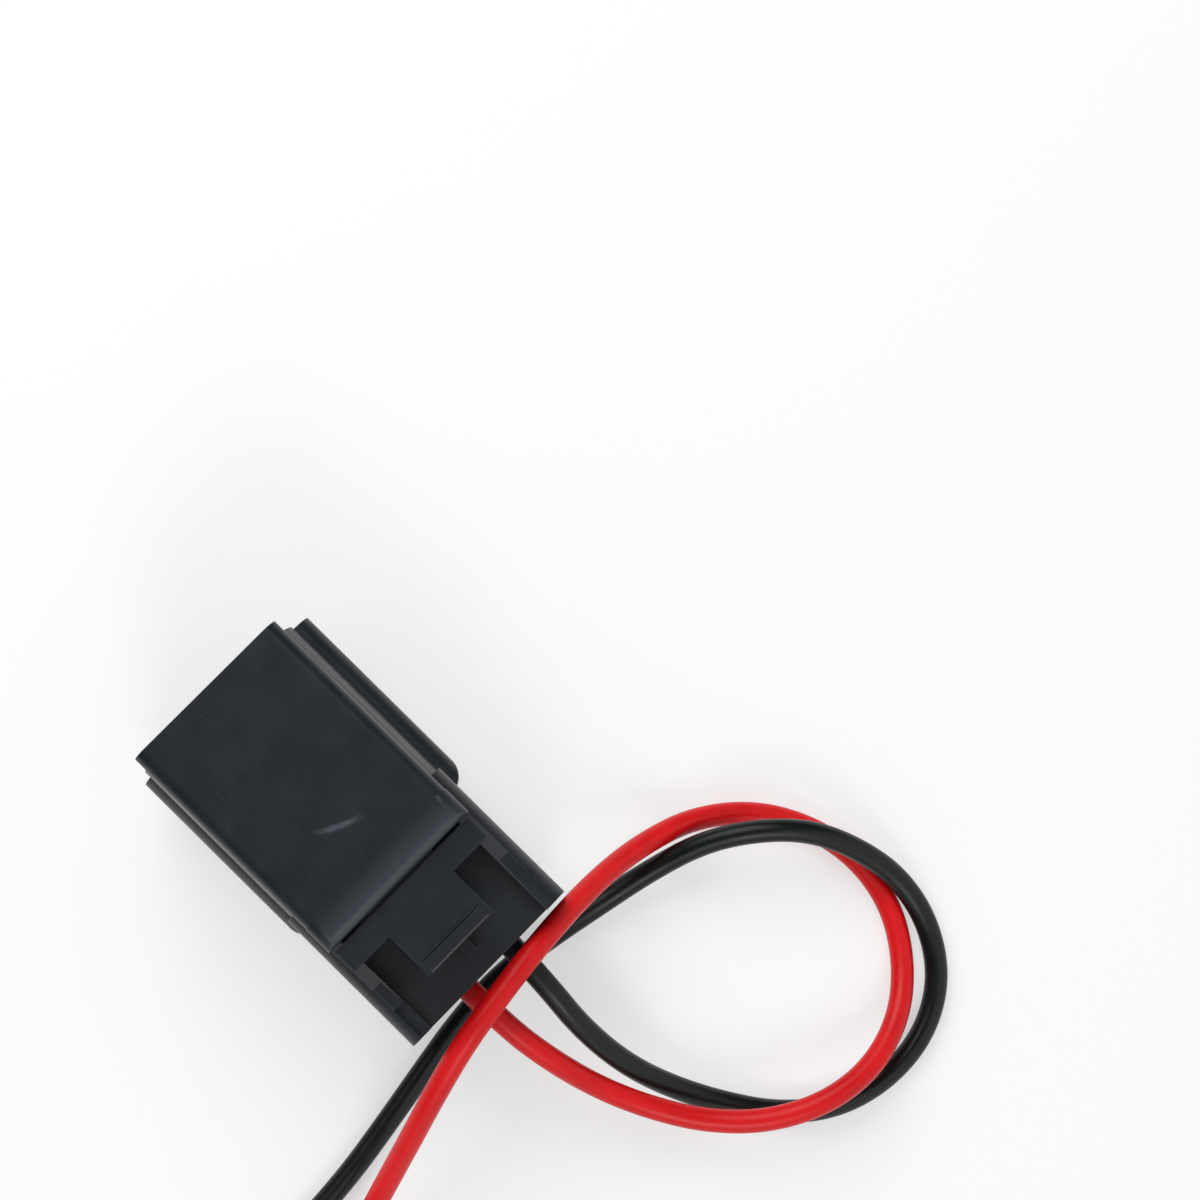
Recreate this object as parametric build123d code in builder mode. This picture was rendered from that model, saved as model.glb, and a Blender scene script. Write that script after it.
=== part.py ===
from build123d import *
from math import pi, radians, tan
import os

os.makedirs("parts", exist_ok=True)

# Sealed two-way connector with a short red and black pigtail, in millimetres.
# The mating face looks along -Y, the wires leave along +Y and the latch hood is on top.
# The origin is at the centre of the tower in the plane of the shroud's front rim.

# Shroud, seen from the front
wall = 1.3
hood_width = 18.5
hood_top = 16.05
hood_corner = 1.4
roof_edge = 1.0
neck_width = 17.6
neck_height = 6.2
barrel_width = 20.3
barrel_bottom = -9.7
barrel_corner = 4.2
barrel_shoulder = 1.6
junction_radius = 0.5

# Keying lobes of the shroud
foot_radius = 2.43
foot_height = -9.21
left_foot_x = -6.05
right_foot_x = 5.45
left_key_reach = 12.0
left_key_top = 0.2
left_key_bottom = -5.2
left_key_corner = 1.8
right_key_x = 8.5
right_key_z = -5.3
right_key_radius = 2.95
key_end_radius = 2.3

# Depths behind the front rim
key_length = 22.8
cavity_depth = 18.7
hood_length = 25.7
cheek_top_end = 22.0
cheek_foot_end = 31.0
cheek_sag = 0.47
body_start = 20.5
body_end = 37.6

# Rear body and the channel for the latch lever
body_width = 20.8
rim_height = 8.5
body_bottom = -8.6
body_corner = 2.4
floor_height = 6.3
tunnel_width = 15.8
rim_step = 1.1
rim_step_start = 33.8
rim_step_width = 1.3
stop_block = 1.0
stop_block_start = 22.3
stop_block_height = 1.75
post_width = 1.3
post_height = 1.6
post_start = 33.0
post_end = 35.4

# Latch lever, one moulding with the housing
lever_width = 8.4
lever_start = 4.0
lever_thickness = 1.9
lever_height = 10.95
lever_bend = 22.8
lever_edge = 0.7
leg_start = 11.0
leg_end = 17.0
leg_outer = 3.9
leg_inner = 1.65
nib_width = 2.5
nib_drop = 1.05
nib_length = 2.5
nib_ramp = 0.7
pad_width = 8.5
pad_end = 33.9
pad_height = 14.5
pad_thickness = 1.6
pad_bend = 1.0
wing_width = 17.6
wing_gap = 0.3
wing_end = 28.6
grip_length = 1.5
grip_height = 0.35
grip_inset = 0.5
grip_slope = 0.2
groove_length = 0.3
groove_width = 5.8
groove_depth = 0.15
groove_start = 32.0
root = 0.2

# Tower, ring seal and front retainer
tower_width = 13.8
tower_height = 11.7
tower_corner = 3.2
retainer_start = 4.0
retainer_end = 7.0
retainer_plate = 1.2
skirt = 0.8
retainer_gap = 0.1
retainer_edge = 0.5
face_width = 10.1
face_top = 4.27
face_bottom = -4.75
face_corner = 1.5
face_ledge = 0.6
face_slope = 38
lug_width = 2.4
lug_length = 0.7
lug_depth = 0.35
ring_length = 3.3
ring_gap = 0.05
ring_web = 0.3
ring_lip = 0.5
ring_rib = 1.3
ring_chamfer = 0.4
land_start = 10.8
land_height = 6.3
rib_x = 5.0
rib_width = 0.6
rib_height = 6.8
catch_width = 1.5
catch_height = 0.4
catch_start = 12.0
catch_length = 1.0

# Windows of the retainer
bar_width = 1.35
window_width = 5.25
window_top = 4.85
window_bottom = -2.1
window_corner = 1.9
notch_width = 2.6
notch_drop = 0.75
notch_ramp = 1.2
slot_width = 4.9
slot_inset = 2.2
slot_height = 1.25
slot_corner = 1.2

# Terminals
pitch = 6.0
wire_axis = 0.8
sheet = 0.3
box_width = 2.4
box_top = 2.15
box_bottom = -0.75
box_start = 7.3
box_length = 8.0
box_setback = 1.2
lip_width = 1.35
lip_height = 0.45
lip_offset = 0.4
fold_radius = 0.4
tongue_width = 1.7
tongue_crest = 1.25
tongue_crest_start = 2.6
tongue_length = 6.0
tongue_drop = 0.1
latch_hole = 2.2
latch_hole_start = 8.9
latch_hole_width = 1.3
neck_width_sheet = 1.5
core_crimp_start = 17.3
core_crimp_length = 3.5
grip_crimp_start = 24.6
grip_crimp_length = 3.4
crimp_seam = 0.25

# Terminal cavities
cavity_gap = 0.12
chamber_lead = 2.0
mouth_top = 3.65
mouth_depth = 1.4
mouth_width = 2.05
mouth_offset = 0.4
lance_end = 15.6
lance_tip = 9.0
lance_thickness = 0.85
lance_width = 1.8
lance_room = 1.3
lance_hook = 0.75
lance_hook_length = 0.9
lance_play = 0.15
passage_radius = 2.1
bore_radius = 2.6
bore_depth = 7.9
bore_lead = 0.4
tube_wall = 0.9
pocket_depth = 14.0
pocket_rib = 1.0

# Wires and the seals round them
wire_radius = 1.2
core_radius = 0.75
core_start = 17.0
wire_start = 22.0
neck_radius = 1.65
plug_start = 24.2
plug_recess = 0.4
plug_groove = 0.35
plug_ribs = 3
plug_rib = 1.25

# Where each wire lies, from the face of its seal to its cut end
exit_depth = body_end - plug_recess
surface = foot_height - foot_radius
lie = surface + wire_radius
red_route = [
    (pitch / 2, exit_depth, wire_axis), (pitch / 2, 42.9, wire_axis), (2.3, 48.5, -1.1),
    (1.0, 54.0, -3.8), (-1.1, 59.2, -5.3), (-4.3, 64.1, -5.5), (-8.6, 68.3, -5.0),
    (-14.0, 71.2, -4.8), (-19.8, 72.6, -6.2), (-25.6, 71.7, -8.6), (-30.3, 68.4, -10.0),
    (-33.6, 63.5, lie), (-34.7, 57.5, lie), (-33.5, 51.5, lie), (-30.4, 46.2, -10.3),
    (-25.5, 42.3, -9.1), (-20.1, 40.4, -6.5), (-15.0, 39.5, -2.9), (-9.9, 39.3, 1.2),
    (-4.5, 39.5, 4.7), (1.3, 40.1, 6.5), (7.2, 41.0, 6.2), (12.8, 42.3, 3.8),
    (17.8, 43.8, 0.2), (24.7, 46.1, -5.6), (34.3, 49.0, -9.8), (44.6, 52.0, lie),
]
black_route = [
    (-pitch / 2, exit_depth, wire_axis), (-pitch / 2, 42.9, wire_axis), (-2.6, 48.5, -1.4),
    (-2.8, 54.0, -4.6), (-4.2, 59.2, -7.8), (-6.8, 64.4, -9.9), (-10.3, 69.4, lie),
    (-14.8, 73.3, lie), (-20.3, 75.5, lie), (-26.3, 75.2, lie), (-31.6, 72.4, lie),
    (-35.2, 67.6, -10.2), (-36.6, 61.8, -8.8), (-35.7, 56.0, -6.7), (-33.0, 51.1, -5.1),
    (-28.6, 47.1, -5.0), (-23.8, 44.8, -6.4), (-18.2, 43.3, -8.7), (-12.1, 41.8, -10.2),
    (-5.9, 40.2, lie), (0.4, 39.2, lie), (6.5, 39.2, lie), (12.4, 40.2, lie),
    (18.5, 41.4, lie), (26.1, 42.6, lie), (36.0, 42.9, lie), (45.7, 41.6, lie),
]

# Sizes that follow from the ones above
nose_width = tower_width - 2 * (skirt + retainer_gap)
nose_height = tower_height - 2 * (skirt + retainer_gap)
nose_corner = tower_corner - skirt - retainer_gap
nose_start = retainer_start + retainer_plate + retainer_gap
slot_top = slot_inset - tower_height / 2
ring_start = retainer_end + ring_gap
ring_end = ring_start + ring_length
chamber_width = box_width + 2 * cavity_gap
chamber_top = box_top + cavity_gap
chamber_bottom = box_bottom - cavity_gap
bore_start = body_end - bore_depth
passage_start = core_start - cavity_gap
ceiling = hood_top - wall


def section(depth):
    """Plane across the connector at this depth, with its local axes along X and Z."""
    return Plane.XZ.offset(-depth)


def block(width, low, high, start, end, x=0.0, corner=0.0, side=1, mode=Mode.ADD):
    """Run a rectangle from one depth to another; a side of -1 puts it below the axis."""
    with BuildSketch(section(end)) as profile:
        with Locations((x, side * (low + high) / 2)):
            if corner > 0:
                RectangleRounded(width, high - low, corner)
            else:
                Rectangle(width, high - low)
    extrude(profile.sketch, amount=end - start, mode=mode)


def rod(radius, start, end, x, mode=Mode.ADD):
    """Round bar on the axis of the wire at x."""
    with BuildSketch(section(end)) as profile:
        with Locations((x, wire_axis)):
            Circle(radius)
    extrude(profile.sketch, amount=end - start, mode=mode)


def shroud_outline():
    """Hood, barrel, two feet and two side keys as one outline."""
    neck = neck_width / 2
    side = barrel_width / 2
    hood = hood_width / 2
    with BuildSketch(section(0)) as profile:
        with BuildLine():
            Polyline((-neck, neck_height), (-hood, hood_top), (hood, hood_top), (neck, neck_height), close=True)
        make_face()
        fillet(profile.vertices().group_by(Axis.Y)[-1], radius=hood_corner)
        with BuildSketch(mode=Mode.PRIVATE) as barrel:
            with BuildLine():
                left = TangentArc((-side, barrel_shoulder), (-neck, neck_height), tangent=(0, 1))
                right = TangentArc((side, barrel_shoulder), (neck, neck_height), tangent=(0, 1))
                Line(left @ 1, right @ 1)
                Polyline(right @ 0, (side, barrel_bottom), (-side, barrel_bottom), left @ 0)
            make_face()
            fillet(barrel.vertices().group_by(Axis.Y)[0], radius=barrel_corner)
        add(barrel.sketch_local)
        with Locations((left_foot_x, foot_height), (right_foot_x, foot_height)):
            Circle(foot_radius)
        with Locations((right_key_x, right_key_z)):
            Circle(right_key_radius)
        with Locations((-left_key_reach / 2, (left_key_top + left_key_bottom) / 2)):
            RectangleRounded(left_key_reach, left_key_top - left_key_bottom, left_key_corner)
        offset(amount=junction_radius)
        offset(amount=-junction_radius)
    return profile.sketch


def round_key_end(side, reach):
    """Round the rear corner of a side key, as seen from above."""
    with BuildSketch(Plane.XY.offset(barrel_bottom)) as corner:
        with BuildLine():
            bend = TangentArc((side * reach, key_length - key_end_radius),
                              (side * (reach - key_end_radius), key_length), tangent=(0, 1))
            Polyline(bend @ 1, (side * (reach - key_end_radius), key_length + root),
                     (side * (reach + root), key_length + root),
                     (side * (reach + root), key_length - key_end_radius), bend @ 0)
        make_face()
    extrude(corner.sketch, amount=barrel_shoulder - barrel_bottom, mode=Mode.SUBTRACT)


def rear_pocket():
    """Hollow of the rear body, open to the rear, round the two tubes that hold the wire seals."""
    low = body_bottom + wall
    high = floor_height - wall
    with BuildSketch(section(body_end)) as profile:
        with Locations((0, (low + high) / 2)):
            RectangleRounded(body_width - 2 * wall, high - low, body_corner - wall)
        with Locations((-pitch / 2, wire_axis), (pitch / 2, wire_axis)):
            Circle(bore_radius + tube_wall, mode=Mode.SUBTRACT)
        with Locations((0, wire_axis)):
            Rectangle(pitch, 2 * bore_radius, mode=Mode.SUBTRACT)
            Rectangle(body_width, pocket_rib, mode=Mode.SUBTRACT)
        with Locations((-pitch / 2, wire_axis), (pitch / 2, wire_axis)):
            Rectangle(pocket_rib, body_width, align=(Align.CENTER, Align.MAX), mode=Mode.SUBTRACT)
    extrude(profile.sketch, amount=pocket_depth, mode=Mode.SUBTRACT)


def terminal_cavity(x):
    """Mouth, box chamber with its lance, crimp passage and seal bore of one terminal."""
    block(mouth_width, chamber_bottom, mouth_top, nose_start, nose_start + mouth_depth,
          x=x + mouth_offset, mode=Mode.SUBTRACT)
    block(chamber_width, chamber_bottom, chamber_top, nose_start, passage_start + chamber_lead,
          x=x, mode=Mode.SUBTRACT)
    lance_low = chamber_bottom - lance_thickness
    block(chamber_width, lance_low - lance_room, chamber_bottom, nose_start, lance_end,
          x=x, mode=Mode.SUBTRACT)
    block(lance_width, lance_low, chamber_bottom, lance_tip, lance_end, x=x)
    block(latch_hole_width - 2 * lance_play, lance_low, chamber_bottom + lance_hook, lance_tip,
          lance_tip + lance_hook_length, x=x)
    rod(passage_radius, passage_start, bore_start, x, mode=Mode.SUBTRACT)
    rod(bore_radius, bore_start, body_end, x, mode=Mode.SUBTRACT)


outline = shroud_outline()

with BuildPart() as housing:
    # Shroud with its hood, and the rear body behind it
    extrude(outline, amount=-key_length)
    round_key_end(-1, left_key_reach)
    round_key_end(1, right_key_x + right_key_radius)
    block(hood_width, floor_height, hood_top, key_length - root, cheek_foot_end, corner=hood_corner)
    with BuildSketch(Plane.YZ):
        with BuildLine():
            cheek = SagittaArc((cheek_top_end, ceiling), (cheek_foot_end, rim_height), -cheek_sag)
            edge = TangentArc((hood_length, hood_top - roof_edge), (hood_length - roof_edge, hood_top),
                              tangent=(0, 1))
            Polyline(cheek @ 1, (body_end, rim_height), (body_end, hood_top + root),
                     (hood_length - roof_edge, hood_top + root), edge @ 1)
            Polyline(edge @ 0, (hood_length, ceiling), cheek @ 0)
        make_face()
    extrude(amount=hood_width, both=True, mode=Mode.SUBTRACT)
    block(body_width, body_bottom, rim_height, body_start, body_end, corner=body_corner)

    # Mating cavity, parallel to the outline, and the tunnel under the hood
    with BuildSketch(section(0)):
        add(outline)
        offset(amount=-wall, mode=Mode.REPLACE)
    extrude(amount=-cavity_depth, mode=Mode.SUBTRACT)
    block(tunnel_width, floor_height, ceiling, cavity_depth, body_end, mode=Mode.SUBTRACT)
    block(rim_step_width, rim_height - rim_step, rim_height, rim_step_start, body_end,
          x=(tunnel_width + rim_step_width) / 2, mode=Mode.SUBTRACT)

    # Tower with its nose, the land behind the ring seal and two ribs beside it
    block(tower_width, -tower_height / 2, tower_height / 2, ring_end, cavity_depth, corner=tower_corner)
    block(nose_width, -nose_height / 2, nose_height / 2, nose_start + face_ledge, ring_end,
          corner=nose_corner)
    with BuildSketch(section(nose_start + face_ledge)):
        with Locations((0, (face_top + face_bottom) / 2)):
            RectangleRounded(face_width, face_top - face_bottom, face_corner)
    extrude(amount=face_ledge, taper=face_slope)
    block(2 * leg_outer, 0, land_height, land_start, cavity_depth)
    for side in (-1, 1):
        block(rib_width, 0, rib_height, land_start, cavity_depth, x=side * rib_x)
        block(lug_width + 2 * retainer_gap, nose_height / 2 - lug_depth, nose_height / 2,
              retainer_end - lug_length - retainer_gap, ring_start, side=side, mode=Mode.SUBTRACT)
    block(catch_width, floor_height, floor_height + catch_height, catch_start, catch_start + catch_length)

    # Latch lever: a bar on two legs, a nib at the front and a winged pad at the rear
    with BuildSketch(Plane.YZ) as lever_side:
        with BuildLine():
            Polyline(
                (lever_start, lever_height), (lever_bend, lever_height),
                (hood_length + wing_gap, pad_height), (pad_end, pad_height),
                (pad_end, pad_height - pad_thickness),
                (hood_length + wing_gap + lever_thickness, pad_height - pad_thickness),
                (lever_bend + lever_thickness, lever_height - lever_thickness),
                (lever_start, lever_height - lever_thickness), close=True)
        make_face()
        fillet(lever_side.vertices().sort_by(Axis.X)[2:-2], radius=pad_bend)
    extrude(amount=lever_width / 2, both=True)
    low = lever_height - lever_thickness
    for side in (-1, 1):
        with BuildSketch(section(leg_end)):
            edge = side * lever_width / 2
            Polygon((edge, low), (edge, low + lever_edge), (edge - side * lever_edge, low), align=None)
        extrude(amount=leg_end - lever_start, mode=Mode.SUBTRACT)
        block(leg_outer - leg_inner, land_height - root, low + root, leg_start, leg_end,
              x=side * (leg_outer + leg_inner) / 2)
        with BuildSketch(section(wing_end)):
            inner = side * (tunnel_width / 2 - stop_block)
            outer = side * tunnel_width / 2
            with BuildLine():
                Polyline((inner, rim_height), (inner, rim_height - stop_block_height),
                         (outer, floor_height), (outer + side * root, rim_height), close=True)
            make_face()
        extrude(amount=wing_end - stop_block_start)
    with BuildSketch(Plane.YZ):
        with BuildLine():
            Polyline((lever_start, low + root), (lever_start, low - nib_drop + nib_ramp),
                     (lever_start + nib_ramp, low - nib_drop), (lever_start + nib_length, low - nib_drop),
                     (lever_start + nib_length, low + root), close=True)
        make_face()
    extrude(amount=nib_width / 2, both=True)
    block(pad_width, pad_height - pad_thickness, pad_height, hood_length + wing_gap, pad_end)
    block(wing_width, pad_height - pad_thickness, pad_height, hood_length + wing_gap, wing_end)
    with BuildSketch(Plane.YZ):
        grip_start = pad_end - grip_length
        with BuildLine():
            Polyline((grip_start, pad_height - root), (grip_start, pad_height),
                     (grip_start + grip_slope, pad_height + grip_height),
                     (pad_end - grip_slope, pad_height + grip_height), (pad_end, pad_height),
                     (pad_end, pad_height - root), close=True)
        make_face()
    extrude(amount=pad_width / 2 - grip_inset, both=True)
    block(groove_width, pad_height - groove_depth, pad_height, groove_start,
          groove_start + groove_length, mode=Mode.SUBTRACT)
    block(post_width, floor_height - root, floor_height + post_height, post_start, post_end)

    # Hollow of the rear body and the two terminal cavities
    rear_pocket()
    for side in (-1, 1):
        terminal_cavity(side * pitch / 2)
        with BuildSketch(section(body_end)):
            with Locations((side * pitch / 2, wire_axis)):
                Circle(bore_radius + bore_lead)
        extrude(amount=bore_lead, taper=45, mode=Mode.SUBTRACT)

housing.part.label = "housing"
export_step(housing.part, "parts/housing.step")

with BuildPart() as retainer:
    block(tower_width, -tower_height / 2, tower_height / 2, retainer_start, retainer_end, corner=tower_corner)
    fillet(retainer.faces().sort_by(Axis.Y)[0].edges(), radius=retainer_edge)
    pocket = retainer_start + retainer_plate
    block(nose_width + 2 * retainer_gap, -nose_height / 2 - retainer_gap, nose_height / 2 + retainer_gap,
          pocket, retainer_end, corner=nose_corner + retainer_gap, mode=Mode.SUBTRACT)
    with BuildSketch(section(retainer_start)) as windows:
        inner = bar_width / 2
        with Locations((inner, window_bottom)):
            Rectangle(window_width, window_top - window_bottom, align=(Align.MIN, Align.MIN))
        fillet(windows.vertices().sort_by(Axis.X)[-2:].sort_by(Axis.Y)[-1], radius=window_corner)
        with Locations((inner, window_bottom - notch_drop)):
            Rectangle(notch_width, notch_drop, align=(Align.MIN, Align.MIN))
        with BuildSketch(mode=Mode.PRIVATE) as slot:
            with Locations((inner, slot_top)):
                Rectangle(slot_width, slot_height, align=(Align.MIN, Align.MAX))
            fillet(slot.vertices().sort_by(Axis.X)[-2:].sort_by(Axis.Y)[0], radius=slot_corner)
        add(slot.sketch_local)
        mirror(about=Plane.YZ)
    extrude(amount=-retainer_plate, mode=Mode.SUBTRACT)
    for side in (-1, 1):
        with BuildSketch(Plane.YZ.offset(side * bar_width / 2)):
            notch_bottom = window_bottom - notch_drop
            Polygon((retainer_start, notch_bottom), (pocket, notch_bottom),
                    (pocket, notch_bottom + notch_ramp), align=None)
        extrude(amount=side * notch_width)
        block(lug_width, nose_height / 2 - lug_depth + retainer_gap, nose_height / 2 + retainer_gap + root,
              retainer_end - lug_length, retainer_end, side=side)

retainer.part.label = "front_retainer"
export_step(retainer.part, "parts/front_retainer.step")

with BuildPart() as ring:
    for start in (ring_start, ring_end - ring_rib):
        with BuildSketch(section(start + ring_rib)):
            RectangleRounded(tower_width + 2 * ring_lip, tower_height + 2 * ring_lip, tower_corner + ring_lip)
        extrude(amount=ring_rib)
    chamfer(ring.edges().filter_by(Axis.Y, reverse=True), length=ring_chamfer)
    block(nose_width + 2 * ring_web, -nose_height / 2 - ring_web, nose_height / 2 + ring_web,
          ring_start, ring_end, corner=nose_corner + ring_web)
    block(nose_width, -nose_height / 2, nose_height / 2, ring_start, ring_end, corner=nose_corner,
          mode=Mode.SUBTRACT)

ring.part.label = "ring_seal"
export_step(ring.part, "parts/ring_seal.step")


def make_terminal(x):
    """Female terminal folded from sheet: box with its spring tongue, neck, core crimp and grip."""
    with BuildPart() as terminal:
        box_end = box_start + box_length
        wall_start = box_start + box_setback
        block(box_width, box_bottom, box_top, wall_start, box_end, x=x)
        block(box_width - 2 * sheet, box_bottom + sheet, box_top - sheet, wall_start, box_end,
              x=x, mode=Mode.SUBTRACT)
        block(lip_width, box_top - lip_height, box_top, box_start, wall_start + sheet, x=x + lip_offset)
        block(tongue_width, box_bottom, box_bottom + sheet, box_start + fold_radius, wall_start + root, x=x)
        block(latch_hole_width, box_bottom, box_bottom + sheet, latch_hole_start,
              latch_hole_start + latch_hole, x=x, mode=Mode.SUBTRACT)
        with BuildSketch(Plane.YZ.offset(x)):
            root_end = box_start + fold_radius
            middle = box_bottom + fold_radius
            crest = box_start + tongue_crest_start
            tip = box_start + tongue_length
            with BuildLine():
                fold = ThreePointArc((root_end, box_bottom), (box_start, middle),
                                     (root_end, middle + fold_radius))
                over = ThreePointArc(fold @ 1, (crest, tongue_crest), (tip, tongue_drop))
                under = ThreePointArc((tip, tongue_drop - sheet), (crest, tongue_crest - sheet),
                                      (root_end, middle + fold_radius - sheet))
                Line(over @ 1, under @ 0)
                inside = ThreePointArc(under @ 1, (box_start + sheet, middle),
                                       (root_end, box_bottom + sheet))
                Line(inside @ 1, fold @ 0)
            make_face()
        extrude(amount=tongue_width / 2, both=True)
        core_low = wire_axis - core_radius - sheet
        with BuildSketch(Plane.YZ.offset(x)):
            with BuildLine():
                Polyline((box_end - sheet, box_bottom), (box_end, box_bottom),
                         (core_crimp_start, core_low), (core_crimp_start, core_low + sheet),
                         (box_end, box_bottom + sheet), (box_end - sheet, box_bottom + sheet), close=True)
            make_face()
        extrude(amount=neck_width_sheet / 2, both=True)
        core_end = core_crimp_start + core_crimp_length
        grip_low = wire_axis - neck_radius - sheet
        with BuildSketch(Plane.YZ.offset(x)):
            with BuildLine():
                Polyline((core_end, core_low), (wire_start, grip_low), (grip_crimp_start, grip_low),
                         (grip_crimp_start, grip_low + sheet), (wire_start - sheet, grip_low + sheet),
                         (core_end, core_low + sheet), close=True)
            make_face()
        extrude(amount=neck_width_sheet / 2, both=True)
        for start, length, radius in ((core_crimp_start, core_crimp_length, core_radius),
                                      (grip_crimp_start, grip_crimp_length, neck_radius)):
            rod(radius + sheet, start, start + length, x)
            block(crimp_seam, wire_axis, wire_axis + radius + 2 * sheet, start, start + length,
                  x=x, mode=Mode.SUBTRACT)
            rod(radius, start, start + length, x, mode=Mode.SUBTRACT)
    return terminal.part


def make_wire_seal(x):
    """Silicone plug with a neck for the crimp and three ribs that press on the bore."""
    plug_end = body_end - plug_recess
    rib_pitch = (plug_end - bore_start) / plug_ribs
    with BuildPart() as seal:
        rod(neck_radius, plug_start, bore_start, x)
        rod(bore_radius - plug_groove, bore_start, plug_end, x)
        for n in range(plug_ribs):
            middle = bore_start + (n + 1 / 2) * rib_pitch
            rod(bore_radius, middle - plug_rib / 2, middle + plug_rib / 2, x)
        rod(wire_radius, plug_start, plug_end, x, mode=Mode.SUBTRACT)
    return seal.part


def make_crimped_end(x):
    """The held end of a wire: bared strands in the core crimp, then the coat up to the seal's face."""
    with BuildPart() as end:
        rod(core_radius, core_start, wire_start, x)
        rod(wire_radius, wire_start, exit_depth, x)
    return end.part


def bend_radii(route):
    """Largest arc at each corner of a route that leaves a tenth of the shorter run straight."""
    points = [Vector(*point) for point in route]
    radii = []
    for before, corner, after in zip(points, points[1:], points[2:]):
        arriving = corner - before
        leaving = after - corner
        turn = arriving.get_angle(leaving)
        run = min(arriving.length, leaving.length)
        radii.append(0.45 * run / tan(radians(turn / 2)))
    return radii


def make_wire(route):
    """Free length of a wire along its route."""
    radii = bend_radii(route)
    print("bend radii:", [round(radius, 1) for radius in radii])
    with BuildPart() as wire:
        with BuildLine() as path:
            FilletPolyline(*route, radius=radii)
        with BuildSketch(Plane(origin=path.line @ 0, z_dir=path.line % 0)):
            Circle(wire_radius)
        sweep(path=path.line)
    length = path.wire().length
    ratio = wire.part.volume / (pi * wire_radius ** 2 * length)
    print("wire length:", round(length, 1), "volume over section times length:", round(ratio, 4))
    return wire.part


for colour, side, route in (("red", 1, red_route), ("black", -1, black_route)):
    x = side * pitch / 2
    pieces = {
        "terminal": make_terminal(x),
        "wire_seal": make_wire_seal(x),
        "crimped_end": make_crimped_end(x),
        "wire": make_wire(route),
    }
    for name, piece in pieces.items():
        piece.label = f"{name}_{colour}"
        export_step(piece, f"parts/{name}_{colour}.step")
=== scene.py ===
"""Finished look of a sealed two-way connector with its red and black tail, in metres.

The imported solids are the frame: each is copied, welded and given rounded edges, a wire becomes
one smooth curve, and every piece gets a finish that is worked out in its shader.
"""

import logging
from dataclasses import dataclass
from enum import Enum
from math import pi, radians

import bmesh
import bpy
from mathutils import Matrix, Vector


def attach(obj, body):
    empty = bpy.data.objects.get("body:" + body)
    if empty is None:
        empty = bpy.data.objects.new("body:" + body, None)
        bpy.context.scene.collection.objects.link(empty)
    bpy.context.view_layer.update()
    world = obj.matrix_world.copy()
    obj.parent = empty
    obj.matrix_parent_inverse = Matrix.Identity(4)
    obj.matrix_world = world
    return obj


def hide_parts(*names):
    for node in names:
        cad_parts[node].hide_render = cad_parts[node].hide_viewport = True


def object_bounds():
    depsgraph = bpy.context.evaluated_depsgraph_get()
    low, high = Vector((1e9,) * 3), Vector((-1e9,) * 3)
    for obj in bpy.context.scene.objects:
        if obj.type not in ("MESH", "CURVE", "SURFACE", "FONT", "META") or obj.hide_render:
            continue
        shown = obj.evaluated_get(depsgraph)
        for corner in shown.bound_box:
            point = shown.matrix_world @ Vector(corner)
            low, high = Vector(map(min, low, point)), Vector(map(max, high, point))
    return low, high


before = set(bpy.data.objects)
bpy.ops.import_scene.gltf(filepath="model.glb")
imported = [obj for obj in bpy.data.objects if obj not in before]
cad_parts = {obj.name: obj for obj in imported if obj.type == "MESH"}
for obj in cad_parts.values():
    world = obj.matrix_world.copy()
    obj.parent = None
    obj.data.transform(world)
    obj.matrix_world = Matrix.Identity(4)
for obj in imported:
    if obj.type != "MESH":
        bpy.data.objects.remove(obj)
cad_low, cad_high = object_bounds()

MM = 0.001
BODY = "root"
WHITE = (1.0, 1.0, 1.0, 1.0)
Colour = tuple[float, float, float]
Point = tuple[float, float, float]
Value = float | bpy.types.NodeSocket

# Ranges that the shared groups and the finishes fade between
EDGE_TURN = (0.995, 0.93)
EDGE_PATCHES = (0.38, 0.62)
EDGE_PATCH_SCALE = 900.0
HAIRLINE_TURNS = ((20, 10), (75, -25), (130, 40))
HAIRLINE_STRETCH = (1.0, 0.02, 0.35)
HAIRLINE_CUT = (0.70, 0.76)
SPECK_SIZE = (0.12, 0.05)
SPECK_CHANCE = (0.72, 0.9)
CLOUD = (0.3, 0.7)
WIDE_CLOUD = (0.25, 0.75)
PLATE_CLOUD = (0.42, 0.62)

log = logging.getLogger("pigtail")


class Slot(Enum):
    """Material slots of the record, one for each kind of finish the pieces get."""

    HOUSING = "housing_plastic"
    RETAINER = "retainer_plastic"
    SEAL = "seal_silicone"
    TERMINAL = "terminal_metal"
    RED_COAT = "wire_coat_red"
    BLACK_COAT = "wire_coat_black"


class Side(Enum):
    """The two ways of the connector, named after their wires, with the side of X each is on."""

    RED = 1
    BLACK = -1

    @property
    def word(self) -> str:
        """The colour's name, as it ends the names of the nodes."""
        return self.name.lower()


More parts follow.
